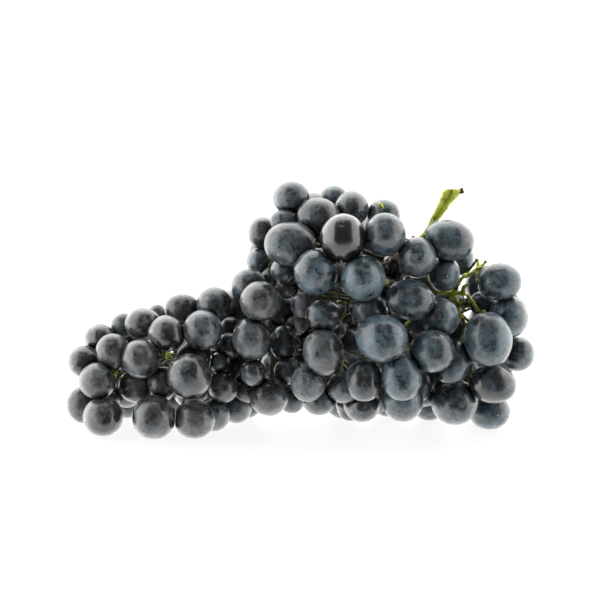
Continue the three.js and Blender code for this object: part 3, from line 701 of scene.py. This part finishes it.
def finishGroup(wire, given, geometry):
    smooth = wire.node("GeometryNodeSetShadeSmooth", None, {"Geometry": geometry})
    whole = wire.node("GeometryNodeRealizeInstances", None, {"Geometry": smooth})
    done = wire.node("GeometryNodeSetMaterial", None, {"Geometry": whole, "Material": given["Skin"]})
    leave = wire.tree.nodes.new("NodeGroupOutput")
    wire.tree.links.new(done.socket, leave.inputs[0])


def berryTree():
    tree, wire, given = groupWithInputs("berriesOnPoints", {
        "Around": "Int", "Along": "Int", "Dimple": "Float", "Lumpiness": "Float", "Lump Size": "Float",
        "Folds": "Float", "Skin": "Material"})
    ball = wire.node("GeometryNodeMeshUVSphere", None, {"Segments": given["Around"], "Rings": given["Along"]})
    position = wire.node("GeometryNodeInputPosition")
    ball = ball.stored("spot", position)
    # draw the skin in round the stem, and a little flatter at the flower's end
    x, y, z = (position.part(letter) for letter in "XYZ")
    fromLine = (x * x + y * y) ** 0.5
    stemEnd = (1 - fromLine.rise(0.0, 0.42)) * (1 - z.rise(-0.6, 0.0))
    flowerEnd = (1 - fromLine.rise(0.0, 0.55)) * z.rise(0.0, 0.6)
    drawn = wire.node("ShaderNodeCombineXYZ", None, {"Z": stemEnd * given["Dimple"] - flowerEnd * 0.02})
    ball = wire.node("GeometryNodeSetPosition", None, {"Geometry": ball, "Offset": drawn})
    turn = wire.node("FunctionNodeAlignRotationToVector", {"axis": "Z"}, {"Vector": wire.named("lengthWay")})
    halfSize = wire.named("halfSize")
    placed = wire.node("GeometryNodeInstanceOnPoints", None, {
        "Points": given["Geometry"], "Instance": ball, "Rotation": turn, "Scale": halfSize})
    whole = wire.node("GeometryNodeRealizeInstances", None, {"Geometry": placed})
    # each berry's own place in the skin's pattern, in millimetres
    inside = wire.named("spot").vector("MULTIPLY", halfSize).times(1000.0)
    whole = whole.stored("skinPlace", inside.vector("ADD", wire.named("ownStart")))
    skinPlace = wire.named("skinPlace")
    lumps = skinPlace.noise(1 / given["Lump Size"], 1)
    folds = skinPlace.noise(given["Folds"], 2, 0.5, 0.8)
    wither = wire.named("wither", "FLOAT")
    rise = (lumps - 0.5) * given["Lumpiness"] + (folds - 0.5) * wither * given["Lumpiness"] * 5
    finishGroup(wire, given, raisedBy(wire, whole, rise))
    return tree


def addColumn(mesh, name, values):
    # gives every vertex a named value or vector
    values = np.asarray(values, np.float32)
    kind, slot = ("FLOAT_VECTOR", "vector") if values.ndim == 2 else ("FLOAT", "value")
    mesh.attributes.new(name, kind, "POINT").data.foreach_set(slot, values.ravel())


def column(mesh, name):
    # a named value of every vertex, as an array
    values = np.zeros(len(mesh.vertices), np.float32)
    mesh.attributes[name].data.foreach_get("value", values)
    return values.astype(float)


def placesOf(mesh):
    # where the vertices are, in the layout's millimetres
    places = np.zeros(len(mesh.vertices) * 3, np.float32)
    mesh.vertices.foreach_get("co", places)
    return places.reshape(-1, 3).astype(float) * 1000 - bunch["shift"]


def moveTo(mesh, places):
    mesh.vertices.foreach_set("co", ((places + bunch["shift"]) / 1000).astype(np.float32).ravel())
    mesh.update()


def newObject(name, data):
    thing = bpy.data.objects.new(name, data)
    bpy.context.scene.collection.objects.link(thing)
    return thing


def pointCloud(name, points, edges, values):
    # a mesh of bare points, in metres, that carries named values for a node tree
    mesh = bpy.data.meshes.new(name)
    mesh.from_pydata(((points + bunch["shift"]) / 1000).tolist(), edges, [])
    for label, value in values.items():
        addColumn(mesh, label, value)
    return newObject(name, mesh)


def grow(thing, tree, settings):
    # puts the plain mesh that a node tree makes of an object into the same object
    modifier = thing.modifiers.new("grow", "NODES")
    modifier.node_group = tree
    for socket in tree.interface.items_tree:
        if socket.in_out == "INPUT" and socket.name in settings:
            modifier[socket.identifier] = settings[socket.name]
    made = thing.evaluated_get(bpy.context.evaluated_depsgraph_get())
    mesh = bpy.data.meshes.new_from_object(made)
    thing.modifiers.remove(modifier)
    thing.data = mesh
    mesh.name = thing.name


def finish(thing, node):
    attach(thing, "root")
    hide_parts(node)


def softly(depth, softness):
    # the depth where it is above 0, and 0 below, with a round bend between
    return (depth + np.sqrt(depth ** 2 + softness ** 2)) / 2


def pressTogether(mesh):
    # flattens each berry where it presses on a neighbour or the table, and marks where it lies near a
    # neighbour, for rubbed bloom and painted shade there
    places = placesOf(mesh)
    owner = column(mesh, "berryNumber").round().astype(int)
    touch = np.zeros(len(places))
    centre, length = berries["centre"], berries["length"]
    for b in np.unique(owner):
        mine = owner == b
        skinPoints = places[mine]
        near = np.linalg.norm(centre - centre[b], axis=1) < (length[b] + length) / 2 + 3
        for other in np.flatnonzero(near):
            if other == b:
                continue
            way = unit(centre[other] - centre[b])
            distance = np.linalg.norm(centre[other] - centre[b])
            ours, theirs = reachOf(berries, b, way), reachOf(berries, other, way)
            within = berries["cluster"][b] == berries["cluster"][other]
            plane = (distance + ours - theirs) / 2 - berry["gapWithin" if within else "gapBetween"]
            if ours + theirs > distance - bunch["clusterGap"]:
                beyond = (skinPoints - centre[b]) @ way - plane
                skinPoints = skinPoints - softly(beyond, berry["pressSoftness"])[:, None] * way
            out = skinPoints - centre[other]
            room = np.linalg.norm(out, axis=1) - reachOf(berries, other, unit(out))
            touch[mine] = np.maximum(touch[mine], np.clip(1 - room / berry["touchReach"], 0, 1))
        below = 0.02 - skinPoints[:, 2]
        skinPoints[:, 2] += np.where(below > -1, softly(below, berry["tableSoftness"]), 0)
        places[mine] = skinPoints
    places[:, 2] = np.maximum(places[:, 2], 0.0)
    addColumn(mesh, "touch", touch)
    moveTo(mesh, places)


def clusterPiece(which, name, node, tree, material):
    mine = np.flatnonzero(berries["cluster"] == which)
    looks = np.array([skinKinds[kind] for kind in berries["kind"][mine]])
    drift = np.array([[scatter(b, s) for s in range(6)] for b in mine])
    across = berries["centre"][mine, 0]
    values = {
        "lengthWay": berries["axis"][mine],
        "halfSize": np.stack([berries["width"], berries["width"], berries["length"]], 1)[mine] / 2000,
        "ownStart": drift[:, :3] * 400,
        "berryNumber": mine,
        "bloom": looks[:, 0] + 0.16 * drift[:, 3],
        "endRubAndDarkReflection": looks[:, 1] * np.where(drift[:, 4] > -0.3, 1, 0),
        "wither": looks[:, 2],
        "brown": looks[:, 3],
        "purple": looks[:, 4],
        "inner": berries["inner"][mine],
        "blue": np.clip(0.5 + across / 130 + 0.3 * drift[:, 5] + looks[:, 5], 0, 1.5),
    }
    thing = pointCloud(name, berries["centre"][mine], [], values)
    grow(thing, tree, {**berry, "Skin": material})
    pressTogether(thing.data)
    finish(thing, node)
    print("made", name, "of", len(mine), "berries,", len(thing.data.polygons), "faces")


skinMaterial = grapeSkin()
berriesOnPoints = berryTree()
for which, (name, node) in enumerate([
        ("grapesTail", "berries_tail"), ("grapesWaist", "berries_waist"),
        ("grapesShoulder", "berries_shoulder"), ("grapesWing", "berries_wing")]):
    clusterPiece(which, name, node, berriesOnPoints, skinMaterial)


# The stalk, its branches and each berry's own stem
stalk = {
    "Sides": 14,
    "Wart Height": 0.0010,
    "Wart Size": 1.4,  # millimetres
    "green": rgb(0.160, 0.200, 0.012),
    "yellow": rgb(0.420, 0.450, 0.075),
    "shaded": rgb(0.010, 0.011, 0.004),  # the stems inside the bunch
    # painted shade in the groove of the stalk's cut end
    "groove": rgb(0.110, 0.130, 0.004),
    "cork": rgb(0.045, 0.024, 0.012),
    "index": 1.3,
    # pairs of a share of the length and the radius there
    "stalkGirth": [[0, 2.9], [0.012, 3.4], [0.034, 2.5], [0.055, 2.2], [0.078, 1.65], [0.11, 1.05],
                   [0.16, 0.9], [0.22, 1.2], [0.3, 1.5], [0.42, 1.5], [0.6, 1.4], [0.8, 1.2], [1, 0.8]],
    "branchGirth": [[0, 1.5], [0.08, 1.1], [0.65, 0.85], [0.85, 0.6], [0.94, 0.55], [1, 0.8]],
    "stemGirth": [[0, 0.85], [0.12, 0.5], [0.75, 0.55], [0.9, 0.85], [1, 1.35]],
    "sprigGirth": [[0, 0.9], [0.5, 0.8], [0.85, 0.75], [0.94, 1.25], [1, 0.8]],
    "uneven": [0.95, 0.38, 14],  # a branch's girth: its middle, its spread, and how many swellings it has
    "litRoutes": [4, 5, 6, 7, 8, 14],  # the branches that show in open gaps, as numbered in routes
    "stemShade": 0.85,
    "routeStep": 0.8,
    "sprigStep": 0.6,
    "bladeLength": 24,  # how far down from its cut end the stalk is flattened
    "bladeDepth": 0.6,
    "bladePoints": 40,  # how many points of the route the blade can lie along
    "grooveDepth": 0.5,
    "grooveWidth": 0.32,
    "cutSlant": 0.6,
    "cutLength": 6,
}
# The little twigs and stubs that show in gaps between berries: how corky, how thick, and the points they run
# through, after the nearest point of the stalk
sprigs = [
    [0.0, 0.9, [[-57.0, -22.4, -10], [-54.6, -23.6, -14]]],
    [0.2, 0.9, [[-80.6, -29.8, -14], [-79.0, -31.0, -17]]],
    [0.0, 0.7, [[-50.4, -19.6, -10], [-48.4, -20.4, -12]]],
    [0.0, 0.6, [[35.9, 38.2, -13], [35.2, 40.0, -15], [33.8, 42.0, -16]]],
    [0.3, 0.8, [[37.4, 8.6, -26], [36.9, 6.4, -30]]],
    [0.2, 0.6, [[47.4, -8.4, -22], [44.8, -10.9, -28]]],
    [0.1, 0.8, [[45.2, -21.6, -24], [43.8, -23.4, -30]]],
    [1.0, 0.8, [[49.1, 25.5, -12], [48.5, 27.4, -13]]],
    [0.9, 1.0, [[66.4, 4.6, -13], [67.4, 5.8, -16]]],
    [0.6, 0.6, [[64.2, 1.1, -13], [67.2, -0.6, -15], [68.2, -2.6, -16]]],
    [0.4, 0.6, [[68.0, -1.4, -14], [70.6, -0.2, -15]]],
    [0.5, 0.6, [[75.3, 12.2, -15], [76.4, 9.8, -17]]],
    [1.0, 0.9, [[41.0, 20.4, -20], [40.2, 18.2, -24], [39.0, 16.4, -25]]],
    [0.8, 1.3, [[67.0, 46.6, -10], [70.0, 47.4, -10]]],
]


def greenStalk():
    material, shader, wire = newMaterial("greenStalk")
    place = wire.node("ShaderNodeTexCoord", None, None, "Object").times(1000.0)
    soft = place.noise(0.3, 3, 0.6)
    fine = place.noise(1.4, 3, 0.65)
    dots = (1 - place.cells(1.1).rise(0.14, 0.3)) * 0.45 * fine.rise(0.4, 0.6)
    corky = (wire.attribute("cork") * 1.3 + (fine - 0.5) * 0.9).rise(0.35, 0.75)
    colour = soft.rise(0.35, 0.68).blend(stalk["green"], stalk["yellow"])
    colour = wire.attribute("shaded").blend(colour, stalk["shaded"])
    # painted shade: the groove down the front of the blade is painted darker
    colour = (wire.attribute("groove") * 0.9).blend(colour, stalk["groove"])
    colour = corky.blend(dots.blend(colour, stalk["cork"]), stalk["cork"])
    normal = wire.node("ShaderNodeBump", None,
                       {"Strength": 0.6, "Distance": 0.0002, "Height": fine * 0.5 + soft * 0.3})
    feed(shader, {"Base Color": colour, "Roughness": 0.5 + corky * 0.3, "Normal": normal,
                  "IOR": stalk["index"]})
    return material


def stemTree():
    tree, wire, given = groupWithInputs("stemsOnLines", {
        "Sides": "Int", "Wart Height": "Float", "Wart Size": "Float", "Skin": "Material"})
    lines = wire.node("GeometryNodeMeshToCurve", None, {"Mesh": given["Geometry"]})
    outline = wire.node("GeometryNodeCurvePrimitiveCircle", None,
                        {"Resolution": given["Sides"], "Radius": 1.0})
    stems = wire.node("GeometryNodeCurveToMesh", None, {
        "Curve": lines, "Profile Curve": outline, "Scale": wire.named("girth", "FLOAT"), "Fill Caps": True})
    place = wire.node("GeometryNodeInputPosition").times(1000.0)
    warts = place.noise(1 / given["Wart Size"], 2)
    finishGroup(wire, given, raisedBy(wire, stems, (warts - 0.45) * given["Wart Height"]))
    return tree


def girthAt(girth, shares):
    # a stem's radius at some shares of its length
    return np.interp(shares, [share for share, _ in girth], [radius for _, radius in girth])


def uneven(number, count):
    # how much thicker or thinner than its girth a branch is along its length
    middle, spread, swellings = stalk["uneven"]
    knots = [middle + spread * scatter(swellings * number + k, 3) for k in range(swellings)]
    return np.interp(np.linspace(0, swellings - 1, count), np.arange(swellings), knots)


def stemToBerry(b):
    # a berry's own stem, which leaves the stalk towards it and enters it along its length, where it can
    centre, root = berries["centre"][b], berries["root"][b]
    entry, rootWay = -berries["axis"][b], unit(root - centre)
    if entry @ rootWay < 0.1:
        entry = unit(rootWay + 0.9 * entry)
    end = centre + entry * reachOf(berries, b, entry) * 0.91
    span = np.linalg.norm(end - root)
    t = np.linspace(0, 1, 13)[:, None]
    leave, enter = unit(end - root) * span, -entry * min(span, 9)
    return ((2 * t ** 3 - 3 * t ** 2 + 1) * root + (t ** 3 - 2 * t ** 2 + t) * leave
            + (3 * t ** 2 - 2 * t ** 3) * end + (t ** 3 - t ** 2) * enter)


def sprigPoints(points, stalkPoints):
    # from the nearest point of the stalk through the points that show
    shown = onSightLine(*np.array(points, float).T)
    root = stalkPoints[np.argmin(np.linalg.norm(stalkPoints - shown[0], axis=1))]
    return smoothRoute(np.vstack([root, shown]), stalk["sprigStep"])


def flattenBlade(mesh):
    # the stalk's cut end is a flat blade with a groove down the side that faces the front
    places = placesOf(mesh)
    step = stalk["routeStep"]
    route = smoothRoute(routes[0], step)
    run = np.arange(len(route)) * step
    onMain = column(mesh, "main") > 0.5
    onBlade = route[None, :stalk["bladePoints"]]
    nearest = np.argmin(np.linalg.norm(places[:, None, [0, 2]] - onBlade[..., [0, 2]], axis=2), axis=1)
    share = onMain * np.clip(1 - run[nearest] / stalk["bladeLength"], 0, 1) ** 0.5
    middle = route[nearest]
    out = places - middle
    along = unit(np.gradient(route, axis=0))[nearest]
    across = np.sum(out * unit(np.cross(along, forwardWay)), axis=1)
    reach = np.interp(run[nearest], run, girthAt(stalk["stalkGirth"], run / run[-1]))
    groove = np.exp(-(across / reach / stalk["grooveWidth"]) ** 2) * share * (out[:, 1] < 0)
    slant = onMain * np.clip(1 - run[nearest] / stalk["cutLength"], 0, 1) * across * stalk["cutSlant"]
    places += slant[:, None] * -along
    places[:, 1] = middle[:, 1] + out[:, 1] * (1 - (1 - stalk["bladeDepth"]) * share)
    places[:, 1] += groove * stalk["grooveDepth"] * reach
    addColumn(mesh, "groove", groove)
    moveTo(mesh, places)


def line(points, girth, cork, shaded):
    # a stem's points, and the girth, the cork and the shade along it
    return {"points": points, "girth": girth, "cork": cork, "shaded": np.broadcast_to(shaded, len(points))}


def stemLines():
    # every stem of the bunch, the main stalk first
    lines = []
    for index, route in enumerate(routes):
        points = smoothRoute(route, stalk["routeStep"])
        shares = np.linspace(0, 1, len(points))
        if index == 0:
            shaded = np.clip(0.5 + 4 * (shares - 0.2), 0, 1)
            lines.append(line(points, girthAt(stalk["stalkGirth"], shares), 0 * shares, shaded))
        else:
            girth = girthAt(stalk["branchGirth"], shares) * uneven(index, len(points))
            cork = np.clip(shares * 12 - 11, 0, 1) * 0.7
            lines.append(line(points, girth, cork, 0.0 if index in stalk["litRoutes"] else 1.0))
    stalkPoints = np.vstack([each["points"] for each in lines])
    for cork, thick, shown in sprigs:
        points = sprigPoints(shown, stalkPoints)
        shares = np.linspace(0, 1, len(points))
        lines.append(line(points, thick * girthAt(stalk["sprigGirth"], shares), cork * shares, 0.0))
    for b in range(len(berries["centre"])):
        points = stemToBerry(b)
        shares = np.linspace(0, 1, len(points))
        cork = np.clip(shares * 6 - 5.2, 0, 1) * 0.6
        lines.append(line(points, girthAt(stalk["stemGirth"], shares), cork, stalk["stemShade"]))
    return lines


def stalkPiece():
    lines = stemLines()
    points, girth, cork, shaded = (np.concatenate([each[key] for each in lines])
                                   for key in ("points", "girth", "cork", "shaded"))
    edges, start = [], 0
    for each in lines:
        edges += [(start + k, start + k + 1) for k in range(len(each["points"]) - 1)]
        start += len(each["points"])
    main = np.arange(len(points)) < len(lines[0]["points"])
    values = {"girth": girth / 1000, "cork": cork, "shaded": shaded, "main": main}
    thing = pointCloud("stalkGrown", points, edges, values)
    grow(thing, stemTree(), {**stalk, "Skin": greenStalk()})
    flattenBlade(thing.data)
    finish(thing, "stalk")
    print("made stalkGrown of", len(lines), "stems,", len(thing.data.polygons), "faces")


stalkPiece()


# The table, the light and the camera
studio = {
    "tableSize": 60,
    "tableDrop": 0.0001,
    "tableColour": rgb(0.02, 0.02, 0.02),
    "tableGlow": rgb(0.90, 0.895, 0.885),
    "tableRoughness": 0.6,
    "leftWall": 7.2,  # how bright the white cloth round the bunch is
    "rightWall": 5.9,
    "cloth": rgb(1.0, 0.985, 0.965),
    "backdrop": 2.6,
    "tableLight": 3.7,
    "openingLight": 0.35,  # the dark room that the picture is taken from
    "openingWidth": 0.41,  # the opening's edges, as they show in a mirror ball of radius 1
    "openingTaper": 0.25,
    "openingTop": 0.65,
    "openingBottom": -0.42,
    "openingSag": 0.9,
    "lampPlace": [-0.06, 0.42],  # a small window high up in that room
    "lampSize": [0.075, 0.018],
    "lampLight": rgb(0.75, 1.0, 0.98),
    "lamp": 9.0,
    "lens": 153.2,
    "sensor": 36,
}


def makeTable():
    mesh = bpy.data.meshes.new("table")
    half, low = studio["tableSize"] / 2, -studio["tableDrop"]
    mesh.from_pydata([(-half, -half, low), (half, -half, low), (half, half, low), (-half, half, low)],
                     [], [(0, 1, 2, 3)])
    material, shader, _ = newMaterial("whiteTable")
    feed(shader, {"Base Color": studio["tableColour"], "Roughness": studio["tableRoughness"],
                  "Emission Color": studio["tableGlow"], "Emission Strength": 1.0})
    mesh.materials.append(material)
    table = newObject("table", mesh)
    table.visible_glossy = table.visible_diffuse = False  # the lit table is part of the tent's own light


def makeLight():
    # a tent of white cloth and a lit table, with an opening towards the dark room in front
    world = bpy.data.worlds.new("whiteTent")
    bpy.context.scene.world = world
    world.use_nodes = True
    world.node_tree.nodes.clear()
    wire = Wire(world.node_tree)
    way = wire.node("ShaderNodeTexCoord", None, None, "Generated")
    # where a mirror ball in the bunch's place, looked at from the front, shows this direction
    facing = way.vector("ADD", tuple(-forwardWay)).vector("NORMALIZE")
    x, z = facing.vector("DOT_PRODUCT", tuple(rightWay)), facing.vector("DOT_PRODUCT", tuple(pictureUp))
    walls = studio["rightWall"] + (1 - x.rise(-0.5, 0.5)) * (studio["leftWall"] - studio["rightWall"])
    behind = (x * x + z * z).rise(0.8, 0.95)
    strength = walls + (1 - way.part("Z").rise(-0.75, -0.1)) * (studio["tableLight"] - walls)
    strength = strength + behind * (studio["backdrop"] - strength)
    halfWidth = studio["openingWidth"] - z * z.size() * studio["openingTaper"]
    inOpening = ((halfWidth - x.size()).rise(-0.02, 0.02)
                 * (z - studio["openingBottom"] - x * x * studio["openingSag"]).rise(-0.02, 0.02)
                 * (studio["openingTop"] - z).rise(-0.015, 0.015))
    lampX, lampZ = studio["lampPlace"]
    lampWidth, lampHeight = studio["lampSize"]
    lamp = ((lampWidth - (x - lampX).size()).rise(-0.01, 0.01)
            * (lampHeight - (z - lampZ).size()).rise(-0.006, 0.006))
    strength = strength + inOpening * (studio["openingLight"] + lamp * studio["lamp"] - strength)
    colour = (lamp * inOpening).blend(studio["cloth"], studio["lampLight"])
    background = wire.node("ShaderNodeBackground", None, {"Color": colour, "Strength": strength})
    output = world.node_tree.nodes.new("ShaderNodeOutputWorld")
    world.node_tree.links.new(background.socket, output.inputs["Surface"])


def makeCamera():
    camera = bpy.data.cameras.new("camera")
    camera.lens = studio["lens"]
    camera.sensor_width = studio["sensor"]
    camera.clip_end = 100
    thing = newObject("camera", camera)
    thing.location = (eyePoint + bunch["shift"]) / 1000
    thing.rotation_euler = (math.radians(90) - eyeAngle, 0, 0)
    bpy.context.scene.camera = thing


makeTable()
makeLight()
makeCamera()
bpy.context.scene.view_settings.view_transform = "Standard"
print("made the table, the light and the camera")
